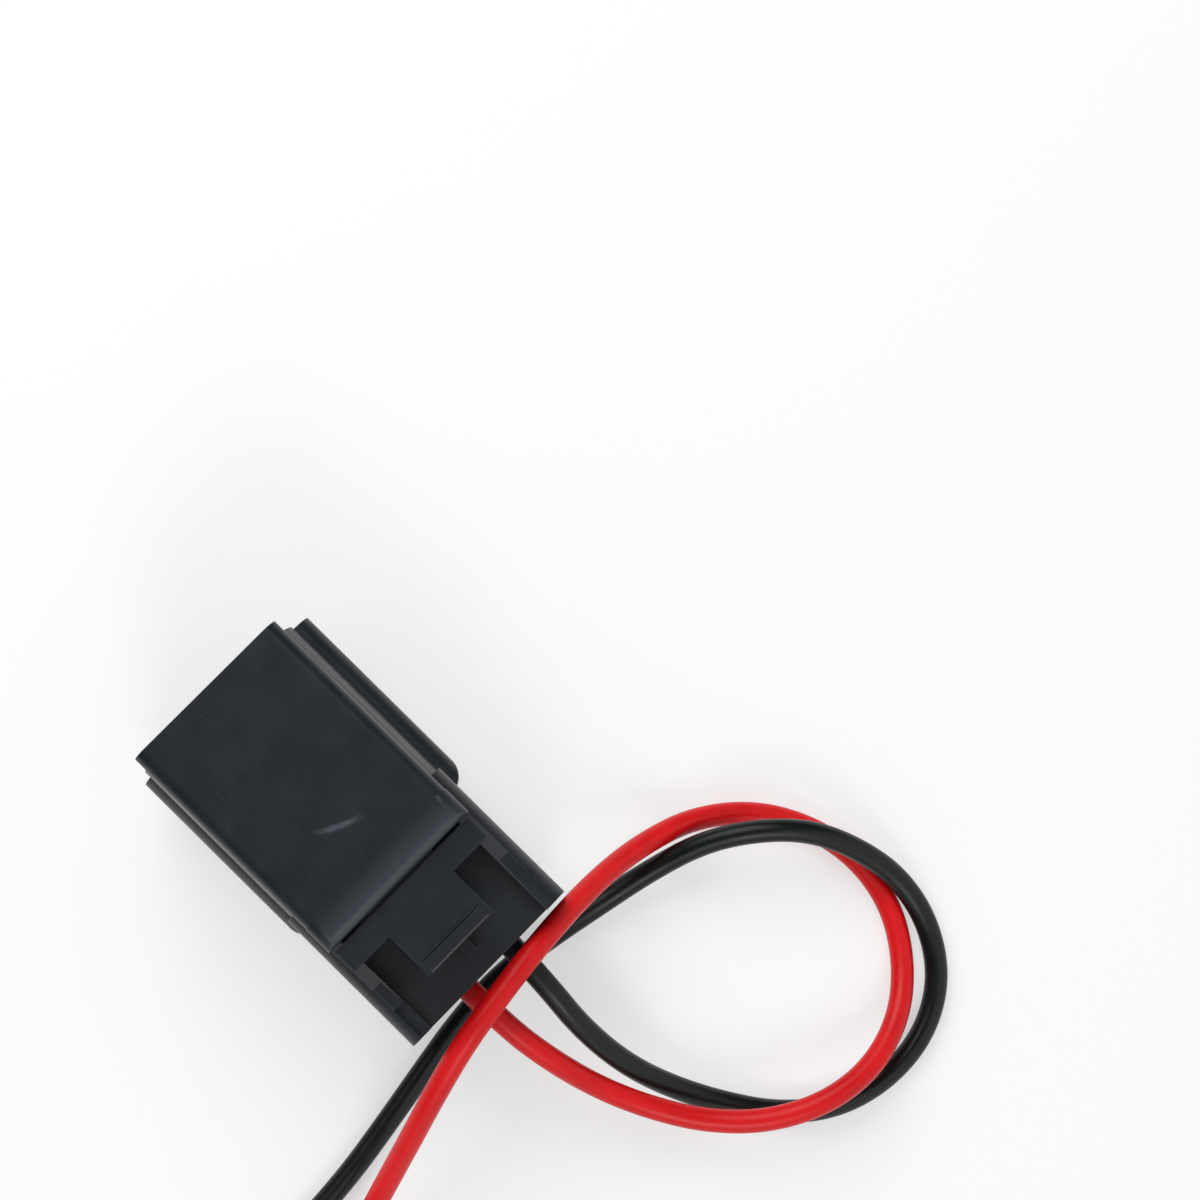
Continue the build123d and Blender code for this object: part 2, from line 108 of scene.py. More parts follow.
class Graph:
    """Adds shader nodes to one tree and joins them, so that a finish reads as a recipe."""

    def __init__(self, tree: bpy.types.NodeTree) -> None:
        """Start on a tree.

        Args:
            tree: the node tree that the nodes go into.
        """
        self.tree = tree

    def add(self, kind: str, inputs: dict | None = None, **settings: object) -> bpy.types.Node:
        """Add a node.

        Args:
            kind: the node's type, such as ShaderNodeMath.
            inputs: values or sockets for its inputs, by name or number.
            settings: properties of the node itself.

        Returns:
            The new node.
        """
        node = self.tree.nodes.new(kind)
        for name, value in settings.items():
            setattr(node, name, value)
        for name, value in (inputs or {}).items():
            if isinstance(value, bpy.types.NodeSocket):
                self.tree.links.new(value, node.inputs[name])
            else:
                node.inputs[name].default_value = value
        return node

    def math(self, operation: str, *values: Value) -> bpy.types.NodeSocket:
        """Result of a Math node on these numbers or sockets."""
        return self.add("ShaderNodeMath", dict(enumerate(values)), operation=operation).outputs[0]

    def fade(self, value: Value, start: float, end: float,
             low: float = 0.0, high: float = 1.0) -> bpy.types.NodeSocket:
        """Smooth step of a value from one range to another.

        Args:
            value: the socket that is read.
            start: value where the step starts.
            end: value where the step ends.
            low: result before the start.
            high: result after the end.

        Returns:
            The socket with the result.
        """
        inputs = {"Value": value, "From Min": start, "From Max": end, "To Min": low, "To Max": high}
        node = self.add("ShaderNodeMapRange", inputs, interpolation_type="SMOOTHSTEP")
        return node.outputs["Result"]

    def blend(self, factor: Value, first: Colour | bpy.types.NodeSocket,
              second: Colour | bpy.types.NodeSocket) -> bpy.types.NodeSocket:
        """Mix of two colours by a factor.

        Args:
            factor: 0 for the first colour, 1 for the second.
            first: the first colour.
            second: the second colour.

        Returns:
            The socket with the mixed colour.
        """
        node = self.add("ShaderNodeMix", data_type="RGBA")
        for index, value in ((0, factor), (6, first), (7, second)):
            if isinstance(value, bpy.types.NodeSocket):
                self.tree.links.new(value, node.inputs[index])
            else:
                node.inputs[index].default_value = (*value, 1.0) if index else value
        return node.outputs[2]

    def bump(self, shader: bpy.types.Node, height: bpy.types.NodeSocket, depth: float) -> None:
        """Lead a height into a shader's normal.

        Args:
            shader: the Principled BSDF.
            height: the socket with the height, from 0 to 1.
            depth: how deep a height of 1 is.
        """
        node = self.add("ShaderNodeBump", {"Height": height, "Distance": depth, "Strength": 1.0})
        self.tree.links.new(node.outputs["Normal"], shader.inputs["Normal"])


def new_group(name: str, inputs: dict[str, float],
              outputs: tuple[str, ...]) -> tuple[Graph, bpy.types.Node, bpy.types.Node]:
    """Make an empty shader group that puts out plain values.

    Args:
        name: the group's name.
        inputs: the names of its inputs with their usual values.
        outputs: the names of its outputs.

    Returns:
        The group's graph, its input node and its output node.
    """
    tree = bpy.data.node_groups.new(name, "ShaderNodeTree")
    for word, value in inputs.items():
        socket = tree.interface.new_socket(word, in_out="INPUT", socket_type="NodeSocketFloat")
        socket.default_value = value
    for word in outputs:
        tree.interface.new_socket(word, in_out="OUTPUT", socket_type="NodeSocketFloat")
    graph = Graph(tree)
    return graph, graph.add("NodeGroupInput"), graph.add("NodeGroupOutput")


def group(name: str) -> bpy.types.NodeTree:
    """The shared shader group of this name, built when it is first asked for."""
    if name not in bpy.data.node_groups:
        GROUP_MAKERS[name]()
    return bpy.data.node_groups[name]


def make_edge_wear() -> None:
    """Group that finds rubbed edges: 1 where the surface turns sharply, broken up by noise."""
    graph, given, result = new_group("edge_wear", {"Radius": 0.2 * MM, "Patchiness": 0.5}, ("Mask",))
    geometry = graph.add("ShaderNodeNewGeometry")
    rounded = graph.add("ShaderNodeBevel", {"Radius": given.outputs["Radius"]}, samples=4)
    normals = {0: rounded.outputs["Normal"], 1: geometry.outputs["Normal"]}
    likeness = graph.add("ShaderNodeVectorMath", normals, operation="DOT_PRODUCT").outputs["Value"]
    turned = graph.fade(likeness, *EDGE_TURN)
    place = graph.add("ShaderNodeTexCoord").outputs["Object"]
    noise = graph.add("ShaderNodeTexNoise", {"Vector": place, "Scale": EDGE_PATCH_SCALE, "Detail": 4.0})
    patches = graph.fade(noise.outputs["Fac"], *EDGE_PATCHES)
    share = graph.math("MULTIPLY", given.outputs["Patchiness"], patches)
    kept = graph.math("ADD", share, graph.math("SUBTRACT", 1.0, given.outputs["Patchiness"]))
    graph.tree.links.new(graph.math("MULTIPLY", turned, kept), result.inputs["Mask"])


def make_grain() -> None:
    """Group for the fine spark-eroded grain of a mould and the slow waviness of a moulded wall."""
    graph, given, result = new_group("grain", {"Size": 0.12 * MM, "Wave": 4 * MM}, ("Grain", "Cloud"))
    place = graph.add("ShaderNodeTexCoord").outputs["Object"]
    fine = graph.add("ShaderNodeTexNoise", {
        "Vector": place, "Scale": graph.math("DIVIDE", 1.0, given.outputs["Size"]), "Detail": 3.0})
    slow = graph.add("ShaderNodeTexNoise", {
        "Vector": place, "Scale": graph.math("DIVIDE", 1.0, given.outputs["Wave"]), "Detail": 5.0,
        "Roughness": 0.55})
    graph.tree.links.new(fine.outputs["Fac"], result.inputs["Grain"])
    graph.tree.links.new(slow.outputs["Fac"], result.inputs["Cloud"])


def make_hairlines() -> None:
    """Group for hairline scratches: three sets of stretched noise, each at its own angle."""
    graph, given, result = new_group("hairlines", {"Width": 0.05 * MM, "Amount": 0.5}, ("Mask",))
    place = graph.add("ShaderNodeTexCoord").outputs["Object"]
    scale = graph.math("DIVIDE", 1.0, given.outputs["Width"])
    total = None
    for turn, lean in HAIRLINE_TURNS:
        mapping = graph.add("ShaderNodeMapping", {
            "Vector": place, "Rotation": (radians(lean), 0.0, radians(turn)), "Scale": HAIRLINE_STRETCH})
        noise = graph.add("ShaderNodeTexNoise", {
            "Vector": mapping.outputs["Vector"], "Scale": scale, "Detail": 2.0})
        line = graph.fade(noise.outputs["Fac"], *HAIRLINE_CUT)
        total = line if total is None else graph.math("MAXIMUM", total, line)
    graph.tree.links.new(graph.math("MULTIPLY", total, given.outputs["Amount"]), result.inputs["Mask"])


def make_specks() -> None:
    """Group for dust: small round specks, thinly and unevenly spread."""
    graph, given, result = new_group("specks", {"Pitch": 0.7 * MM, "Amount": 0.5}, ("Mask",))
    place = graph.add("ShaderNodeTexCoord").outputs["Object"]
    scale = graph.math("DIVIDE", 1.0, given.outputs["Pitch"])
    cells = graph.add("ShaderNodeTexVoronoi", {"Vector": place, "Scale": scale})
    dot = graph.fade(cells.outputs["Distance"], *SPECK_SIZE)
    chance = graph.add("ShaderNodeSeparateColor", {"Color": cells.outputs["Color"]}).outputs["Red"]
    some = graph.fade(chance, *SPECK_CHANCE)
    mask = graph.math("MULTIPLY", graph.math("MULTIPLY", dot, some), given.outputs["Amount"])
    graph.tree.links.new(mask, result.inputs["Mask"])


@dataclass(frozen=True)
class HoodScuffAndSheen:
    """Places and sizes of the two pale marks on top of the hood, in the frame's own axes.

    The streak is real wear and lies about its middle, turned by its lean in degrees. The painted sheen
    for light on the curve before the roof's rear edge fades in along Y over the rear range and out along X
    over the flank range, and the roof range keeps both on top.
    """

    middle: Point = (0.1 * MM, 17.75 * MM, 16.05 * MM)
    lean: float = 25.7
    half_length: float = 2.8 * MM
    full_share: float = 0.2
    bow: float = 0.35 * MM
    half_width: float = 0.45 * MM
    tear: float = 0.3 * MM
    tear_scale: float = 1600.0
    skin: tuple[float, float] = (0.1 * MM, 0.2 * MM)
    rear: tuple[float, float] = (22.0 * MM, 25.6 * MM)
    rear_strength: float = 0.6
    flank: tuple[float, float] = (7.0 * MM, 9.2 * MM)
    flank_strength: float = 0.3
    patch_base: float = 0.6
    patch_gain: float = 0.6
    roof: tuple[float, float] = (15.2 * MM, 15.6 * MM)


def make_scuff_and_painted_sheen() -> None:
    """Group for the hood's pale marks: a bowed streak of wear and a painted sheen by the roof's rear edge.
    """
    scuff_and_sheen = HoodScuffAndSheen()
    graph, given, result = new_group("scuff_and_painted_sheen", {"Amount": 1.0}, ("Mask",))
    place = graph.add("ShaderNodeTexCoord").outputs["Object"]
    noise = graph.add("ShaderNodeTexNoise", {
        "Vector": place, "Scale": scuff_and_sheen.tear_scale, "Detail": 4.0}).outputs["Fac"]
    centred = graph.add("ShaderNodeMapping", {
        "Vector": place, "Location": tuple(-c for c in scuff_and_sheen.middle)}, vector_type="POINT")
    turned = graph.add("ShaderNodeVectorRotate", {
        "Vector": centred.outputs["Vector"], "Angle": radians(scuff_and_sheen.lean)}, rotation_type="Z_AXIS")
    axes = graph.add("ShaderNodeSeparateXYZ", {"Vector": turned.outputs["Vector"]}).outputs
    along = graph.math("DIVIDE", axes["X"], scuff_and_sheen.half_length)
    arch = graph.math("SUBTRACT", 1.0, graph.math("MULTIPLY", along, along))
    bow = graph.math("MULTIPLY", arch, scuff_and_sheen.bow)
    torn = graph.math("MULTIPLY", graph.math("SUBTRACT", noise, 0.5), scuff_and_sheen.tear)
    across = graph.math("ABSOLUTE", graph.math("ADD", graph.math("SUBTRACT", axes["Y"], bow), torn))
    width = graph.fade(across, 0.0, scuff_and_sheen.half_width, 1.0, 0.0)
    ends = graph.fade(graph.math("ABSOLUTE", along), scuff_and_sheen.full_share, 1.0, 1.0, 0.0)
    level = graph.fade(graph.math("ABSOLUTE", axes["Z"]), *scuff_and_sheen.skin, 1.0, 0.0)
    streak = graph.math("MULTIPLY", graph.math("MULTIPLY", width, ends), level)
    back = graph.add("ShaderNodeSeparateXYZ", {"Vector": place}).outputs
    # Painted sheen: the roof is drawn paler over its last millimetres before the rear edge, less so at the
    # flanks, for light on its curve
    rear = graph.fade(back["Y"], *scuff_and_sheen.rear, 0.0, scuff_and_sheen.rear_strength)
    inside = graph.fade(graph.math("ABSOLUTE", back["X"]), *scuff_and_sheen.flank, 1.0, scuff_and_sheen.flank_strength)
    patches = graph.math("ADD", scuff_and_sheen.patch_base, graph.math("MULTIPLY", noise, scuff_and_sheen.patch_gain))
    painted_rear_sheen = graph.math("MULTIPLY", graph.math("MULTIPLY", rear, inside), patches)
    top = graph.fade(back["Z"], *scuff_and_sheen.roof)
    mask = graph.math("MULTIPLY", graph.math("MAXIMUM", streak, painted_rear_sheen), top)
    graph.tree.links.new(graph.math("MULTIPLY", mask, given.outputs["Amount"]), result.inputs["Mask"])


def make_mould_line_and_highlight() -> None:
    """Group for the fine raised line that the mould leaves across the retainer's middle bar.

    The material also draws the line lighter: a painted highlight.
    """
    line_edge = (0.02 * MM, 0.07 * MM)
    graph, given, result = new_group("mould_line_and_highlight", {"Height": 0.7 * MM, "Reach": 0.72 * MM}, ("Mask",))
    place = graph.add("ShaderNodeTexCoord").outputs["Object"]
    axes = graph.add("ShaderNodeSeparateXYZ", {"Vector": place}).outputs
    off = graph.math("ABSOLUTE", graph.math("SUBTRACT", axes["Z"], given.outputs["Height"]))
    line = graph.fade(off, *line_edge, 1.0, 0.0)
    inside = graph.math("LESS_THAN", graph.math("ABSOLUTE", axes["X"]), given.outputs["Reach"])
    graph.tree.links.new(graph.math("MULTIPLY", line, inside), result.inputs["Mask"])


def make_socket_zones() -> None:
    """Group that parts a socket's box walls, drawn dark as painted shade, and its spring above the bright
    fold.
    """
    spring_rise = 0.5 * MM
    sizes = {
        "Pitch": 3.0 * MM, "Half Width": 0.9 * MM, "Roof": 1.66 * MM, "Mouth": 8.45 * MM,
        "Fold": 0.35 * MM}
    graph, given, result = new_group("socket_zones", sizes, ("Walls", "Spring"))
    place = graph.add("ShaderNodeTexCoord").outputs["Object"]
    axes = graph.add("ShaderNodeSeparateXYZ", {"Vector": place}).outputs
    off = graph.math("SUBTRACT", graph.math("ABSOLUTE", axes["X"]), given.outputs["Pitch"])
    sides = graph.math("GREATER_THAN", graph.math("ABSOLUTE", off), given.outputs["Half Width"])
    above = graph.math("GREATER_THAN", axes["Z"], given.outputs["Roof"])
    behind = graph.math("GREATER_THAN", axes["Y"], given.outputs["Mouth"])
    roof = graph.math("MULTIPLY", above, behind)
    graph.tree.links.new(graph.math("MAXIMUM", sides, roof), result.inputs["Walls"])
    rise = graph.math("SUBTRACT", axes["Z"], given.outputs["Fold"])
    below = graph.math("SUBTRACT", 1.0, above)
    spring = graph.math("MULTIPLY", graph.fade(rise, 0.0, spring_rise), below)
    graph.tree.links.new(spring, result.inputs["Spring"])


GROUP_MAKERS = {
    "edge_wear": make_edge_wear,
    "grain": make_grain,
    "hairlines": make_hairlines,
    "specks": make_specks,
    "scuff_and_painted_sheen": make_scuff_and_painted_sheen,
    "mould_line_and_highlight": make_mould_line_and_highlight,
    "socket_zones": make_socket_zones,
}


class Finish:
    """Common start of a finish: a named material with one Principled BSDF."""

    def start(self, name: str) -> tuple[bpy.types.Material, Graph, bpy.types.Node]:
        """Make the material.

        Args:
            name: the material's name.

        Returns:
            The material, its graph and its Principled BSDF.
        """
        material = bpy.data.materials.new(name)
        material.use_nodes = True
        return material, Graph(material.node_tree), material.node_tree.nodes["Principled BSDF"]

    def shared(self, graph: Graph, name: str, inputs: dict) -> bpy.types.Node:
        """Place a shared group in a material with its own values."""
        return graph.add("ShaderNodeGroup", inputs, node_tree=group(name))

    def clouded(self, graph: Graph, cloud: bpy.types.NodeSocket, colour: Colour,
                dark: float, light: float) -> bpy.types.NodeSocket:
        """A colour that goes darker and lighter by turns, as the slow cloud does.

        Args:
            graph: the material's graph.
            cloud: the cloud of the grain group.
            colour: the colour itself.
            dark: share of it where the cloud is thin.
            light: share of it where the cloud is thick.

        Returns:
            The socket with the colour.
        """
        thin, thick = (tuple(share * c for c in colour) for share in (dark, light))
        return graph.blend(graph.fade(cloud, *CLOUD), thin, thick)


@dataclass(frozen=True)
class MouldedPlastic(Finish):
    """Moulded thermoplastic: fine grain, slow sheen changes, rubbed edges, hairlines and dust."""

    name: str
    colour: Colour
    worn: Colour
    dust: Colour
    roughness: float
    specular: float
    wear: float = 0.5
    scratches: float = 0.4
    specks: float = 0.4
    edge_reach: float = 0.18 * MM
    edge_patchiness: float = 0.6
    grain_depth: float = 0.004 * MM
    line_depth: float = 0.8
    shades: tuple[float, float] = (0.9, 1.1)
    smoother: float = 0.03
    duller: float = 0.04
    rub_roughness: float = 0.1
    mark: str = ""
    mark_depth: float = 0.01 * MM

    def material(self) -> bpy.types.Material:
        """Make the material.

        Returns:
            The finished material.
        """
        material, graph, shader = self.start(self.name)
        grain = self.shared(graph, "grain", {})
        edges = self.shared(graph, "edge_wear", {
            "Radius": self.edge_reach, "Patchiness": self.edge_patchiness})
        lines = self.shared(graph, "hairlines", {"Amount": self.scratches})
        dust = self.shared(graph, "specks", {"Amount": self.specks})
        shade = self.clouded(graph, grain.outputs["Cloud"], self.colour, *self.shades)
        rubbed = graph.math("MULTIPLY", edges.outputs["Mask"], self.wear)
        marked = graph.math("MAXIMUM", rubbed, lines.outputs["Mask"])
        colour = graph.blend(marked, shade, self.worn)
        colour = graph.blend(dust.outputs["Mask"], colour, self.dust)
        grooves = graph.math("MULTIPLY", lines.outputs["Mask"], self.line_depth)
        height = graph.math("SUBTRACT", grain.outputs["Grain"], grooves)
        # The mark is drawn in the worn colour: on the hood it is wear together with a painted sheen, on the
        # retainer a painted highlight on a raised mould line
        if self.mark:
            mark = self.shared(graph, self.mark, {}).outputs["Mask"]
            colour = graph.blend(mark, colour, self.worn)
            raised = graph.math("MULTIPLY", mark, self.mark_depth / self.grain_depth)
            height = graph.math("ADD", height, raised)
        graph.tree.links.new(colour, shader.inputs["Base Color"])
        sheen = graph.fade(grain.outputs["Cloud"], *WIDE_CLOUD,
                           self.roughness - self.smoother, self.roughness + self.duller)
        rough = graph.math("ADD", sheen, graph.math("MULTIPLY", marked, self.rub_roughness))
        graph.tree.links.new(rough, shader.inputs["Roughness"])
        graph.bump(shader, height, self.grain_depth)
        shader.inputs["Specular IOR Level"].default_value = self.specular
        return material


@dataclass(frozen=True)
class Silicone(Finish):
    """Silicone rubber: even colour, soft gloss from its oil, and a little lint."""

    name: str
    colour: Colour
    lint: Colour = (0.3, 0.32, 0.4)
    roughness: float = 0.34
    specular: float = 0.3
    shades: tuple[float, float] = (0.85, 1.2)
    smoother: float = 0.08
    duller: float = 0.1
    grain_depth: float = 0.004 * MM

    def material(self) -> bpy.types.Material:
        """Make the material.

        Returns:
            The finished material.
        """
        material, graph, shader = self.start(self.name)
        grain = self.shared(graph, "grain", {"Size": 0.3 * MM, "Wave": 2 * MM})
        dust = self.shared(graph, "specks", {"Pitch": 0.9 * MM, "Amount": 0.25})
        shade = self.clouded(graph, grain.outputs["Cloud"], self.colour, *self.shades)
        colour = graph.blend(dust.outputs["Mask"], shade, self.lint)
        graph.tree.links.new(colour, shader.inputs["Base Color"])
        rough = graph.fade(
            grain.outputs["Cloud"], *CLOUD, self.roughness - self.smoother, self.roughness + self.duller)
        graph.tree.links.new(rough, shader.inputs["Roughness"])
        graph.bump(shader, grain.outputs["Grain"], self.grain_depth)
        shader.inputs["Specular IOR Level"].default_value = self.specular
        return material


@dataclass(frozen=True)
class PlatedMetal(Finish):
    """Metal with a thin bright skin, warmer where rubbed and on a socket's spring, with painted shade on
    socket walls.
    """

    name: str
    plate: Colour
    metal: Colour
    roughness: float = 0.24
    painted_wall_shade: Colour | None = None
    worn_share: float = 0.6
    smoother: float = 0.06
    duller: float = 0.12
    spring_roughness: float = 0.25
    line_roughness: float = 0.15
    line_depth: float = 0.002 * MM

    def material(self) -> bpy.types.Material:
        """Make the material.

        Returns:
            The finished material.
        """
        material, graph, shader = self.start(self.name)
        grain = self.shared(graph, "grain", {"Size": 0.08 * MM, "Wave": 1.2 * MM})
        edges = self.shared(graph, "edge_wear", {"Radius": 0.08 * MM, "Patchiness": 0.4})
        lines = self.shared(graph, "hairlines", {"Width": 0.02 * MM, "Amount": 0.6})
        cloud = graph.fade(grain.outputs["Cloud"], *PLATE_CLOUD)
        worn = graph.math("MULTIPLY", cloud, self.worn_share)
        rubbed = graph.math("MAXIMUM", worn, edges.outputs["Mask"])
        colour = graph.blend(rubbed, self.plate, self.metal)
        rough = graph.fade(
            grain.outputs["Cloud"], *CLOUD, self.roughness - self.smoother, self.roughness + self.duller)
        # Painted shade: a socket's box walls are drawn almost black for the shade in its cavity; the spring
        # takes the warm metal and more roughness
        if self.painted_wall_shade:
            zones = self.shared(graph, "socket_zones", {}).outputs
            colour = graph.blend(zones["Spring"], colour, self.metal)
            colour = graph.blend(zones["Walls"], colour, self.painted_wall_shade)
            rough = graph.math("ADD", rough, graph.math("MULTIPLY", zones["Spring"], self.spring_roughness))
        graph.tree.links.new(colour, shader.inputs["Base Color"])
        scratched = graph.math("MULTIPLY", lines.outputs["Mask"], self.line_roughness)
        rough = graph.math("ADD", rough, scratched)
        graph.tree.links.new(rough, shader.inputs["Roughness"])
        graph.bump(shader, lines.outputs["Mask"], self.line_depth)
        shader.inputs["Metallic"].default_value = 1.0
        return material


@dataclass(frozen=True)
class ExtrudedCoat(Finish):
    """Extruded wire coat: glossy, with a faint orange peel and fine rubbed lines."""

    name: str
    colour: Colour
    light: Colour
    roughness: float = 0.34
    specular: float = 0.25
    shades: tuple[float, float] = (0.9, 1.08)
    smoother: float = 0.05
    duller: float = 0.08
    mark_roughness: float = 0.15
    peel_depth: float = 0.006 * MM

    def material(self) -> bpy.types.Material:
        """Make the material.

        Returns:
            The finished material.
        """
        material, graph, shader = self.start(self.name)
        grain = self.shared(graph, "grain", {"Size": 0.35 * MM, "Wave": 6 * MM})
        lines = self.shared(graph, "hairlines", {"Width": 0.06 * MM, "Amount": 0.35})
        dust = self.shared(graph, "specks", {"Pitch": 1.1 * MM, "Amount": 0.2})
        shade = self.clouded(graph, grain.outputs["Cloud"], self.colour, *self.shades)
        marks = graph.math("MAXIMUM", lines.outputs["Mask"], dust.outputs["Mask"])
        graph.tree.links.new(graph.blend(marks, shade, self.light), shader.inputs["Base Color"])
        rough = graph.fade(
            grain.outputs["Cloud"], *CLOUD, self.roughness - self.smoother, self.roughness + self.duller)
        rough = graph.math("ADD", rough, graph.math("MULTIPLY", marks, self.mark_roughness))
        graph.tree.links.new(rough, shader.inputs["Roughness"])
        graph.bump(shader, grain.outputs["Grain"], self.peel_depth)
        shader.inputs["Specular IOR Level"].default_value = self.specular
        return material


BLACK_NYLON = MouldedPlastic(
    "black_nylon", colour=(0.0062, 0.0092, 0.0128), worn=(0.056, 0.066, 0.084), dust=(0.10, 0.10, 0.10),
    roughness=0.38, specular=0.42, wear=0.35, specks=0.2, mark="scuff_and_painted_sheen", mark_depth=0.0)
# The retainer's mark is a raised mould line drawn lighter, a painted highlight
RED_NYLON = MouldedPlastic(
    "brick_red_nylon", colour=(0.36, 0.025, 0.024), worn=(0.50, 0.08, 0.07), dust=(0.50, 0.38, 0.36),
    roughness=0.42, specular=0.3, wear=0.3, scratches=0.25, specks=0.2, mark="mould_line_and_highlight")
BLUE_SILICONE = Silicone("blue_silicone", (0.009, 0.030, 0.32), roughness=0.48)
# The tinned brass's darkest colour is painted shade for the socket's box walls
TINNED_BRASS = PlatedMetal(
    "tinned_brass", plate=(0.80, 0.77, 0.68), metal=(0.55, 0.48, 0.20), painted_wall_shade=(0.035, 0.033, 0.024))
COPPER = PlatedMetal("bare_copper", plate=(0.86, 0.50, 0.34), metal=(0.74, 0.36, 0.20))
RED_COAT = ExtrudedCoat("red_coat", colour=(0.66, 0.005, 0.007), light=(0.72, 0.05, 0.04))
BLACK_COAT = ExtrudedCoat("black_coat", colour=(0.0045, 0.0068, 0.0064), light=(0.03, 0.035, 0.035))

COATS = {Side.RED: (RED_COAT, Slot.RED_COAT), Side.BLACK: (BLACK_COAT, Slot.BLACK_COAT)}

WELD_REACH = 0.0005 * MM
FLAT_ANGLE = radians(0.6)


def placed(name: str, data: bpy.types.ID, shape: bmesh.types.BMesh | None = None) -> bpy.types.Object:
    """Link a new object to the scene, at the origin.

    Args:
        name: the object's name.
        data: its mesh, curve, camera or lamp.
        shape: the bmesh that fills the mesh first, and is freed.

    Returns:
        The new object.
    """
    if shape is not None:
        shape.to_mesh(data)
        shape.free()
    item = bpy.data.objects.new(name, data)
    bpy.context.scene.collection.objects.link(item)
    return item


def welded_copy(node: str, name: str) -> bpy.types.Object:
    """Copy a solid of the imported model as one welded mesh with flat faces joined.

    Args:
        node: the solid's node.
        name: the new piece's name.

    Returns:
        The new object, linked to the scene.
    """
    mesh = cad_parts[node].data.copy()
    mesh.name = name
    mesh.materials.clear()
    mesh.normals_split_custom_set([(0.0, 0.0, 0.0)] * len(mesh.loops))
    shape = bmesh.new()
    shape.from_mesh(mesh)
    bmesh.ops.remove_doubles(shape, verts=shape.verts, dist=WELD_REACH)
    bmesh.ops.dissolve_limit(shape, angle_limit=FLAT_ANGLE, verts=shape.verts, edges=shape.edges)
    return placed(name, mesh, shape)


def round_edges(piece: bpy.types.Object, width: float, angle: float = 28.0, segments: int = 2) -> None:
    """Round the sharp edges of a piece and shade it smooth.

    Args:
        piece: the object.
        width: how far a round reaches from its edge.
        angle: degrees between two faces from which their edge counts as sharp.
        segments: faces across each round.
    """
    bevel = piece.modifiers.new("rounded_edges", "BEVEL")
    bevel.width = width
    bevel.segments = segments
    bevel.limit_method = "ANGLE"
    bevel.angle_limit = radians(angle)
    bevel.use_clamp_overlap = True
    bevel.miter_outer = "MITER_ARC"
    piece.data.shade_smooth()
    flats = piece.modifiers.new("flat_faces", "WEIGHTED_NORMAL")
    flats.mode = "FACE_AREA"
    flats.weight = 100


def finish_piece(piece: bpy.types.Object, material: bpy.types.Material, slot: Slot, *nodes: str) -> None:
    """Give a piece its material and body, and hide the nodes that it stands for.

    Args:
        piece: the object.
        material: its material.
        slot: the record's slot; not used.
        nodes: the nodes that it replaces.
    """
    piece.data.materials.append(material)
    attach(piece, BODY)
    if nodes:
        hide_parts(*nodes)
    log.info("%s made, standing for %s", piece.name, ", ".join(nodes) or "no node")


@dataclass
class ConnectorBody:
    """The moulded housing, its front retainer and the seal round its tower."""

    housing_edge: float = 0.14 * MM
    retainer_edge: float = 0.12 * MM
    ring_edge: float = 0.10 * MM

    def build(self) -> None:
        """Make the three pieces."""
        for node, name, edge, finish, slot in (
            ("housing", "housing_shell", self.housing_edge, BLACK_NYLON, Slot.HOUSING),
            ("front_retainer", "retainer_cap", self.retainer_edge, RED_NYLON, Slot.RETAINER),
            ("ring_seal", "ring_seal_lips", self.ring_edge, BLUE_SILICONE, Slot.SEAL),
        ):
            piece = welded_copy(node, name)
            round_edges(piece, edge)
            finish_piece(piece, finish.material(), slot, node)


@dataclass
class Contacts:
    """The terminals with the seals and crimped wire ends behind them, one set for each wire."""

    sheet_edge: float = 0.05 * MM
    seal_edge: float = 0.08 * MM

    def build(self) -> None:
        """Make the pieces of both ways."""
        metal = TINNED_BRASS.material()
        silicone = bpy.data.materials[BLUE_SILICONE.name]
        for side in Side:
            word = side.word
            coat, slot = COATS[side]
            for node, name, edge, material, use in (
                (f"terminal_{word}", f"socket_{word}", self.sheet_edge, metal, Slot.TERMINAL),
                (f"wire_seal_{word}", f"plug_seal_{word}", self.seal_edge, silicone, Slot.SEAL),
                (f"crimped_end_{word}", f"held_end_{word}", self.seal_edge, coat.material(), slot),
            ):
                piece = welded_copy(node, name)
                round_edges(piece, edge)
                finish_piece(piece, material, use, node)


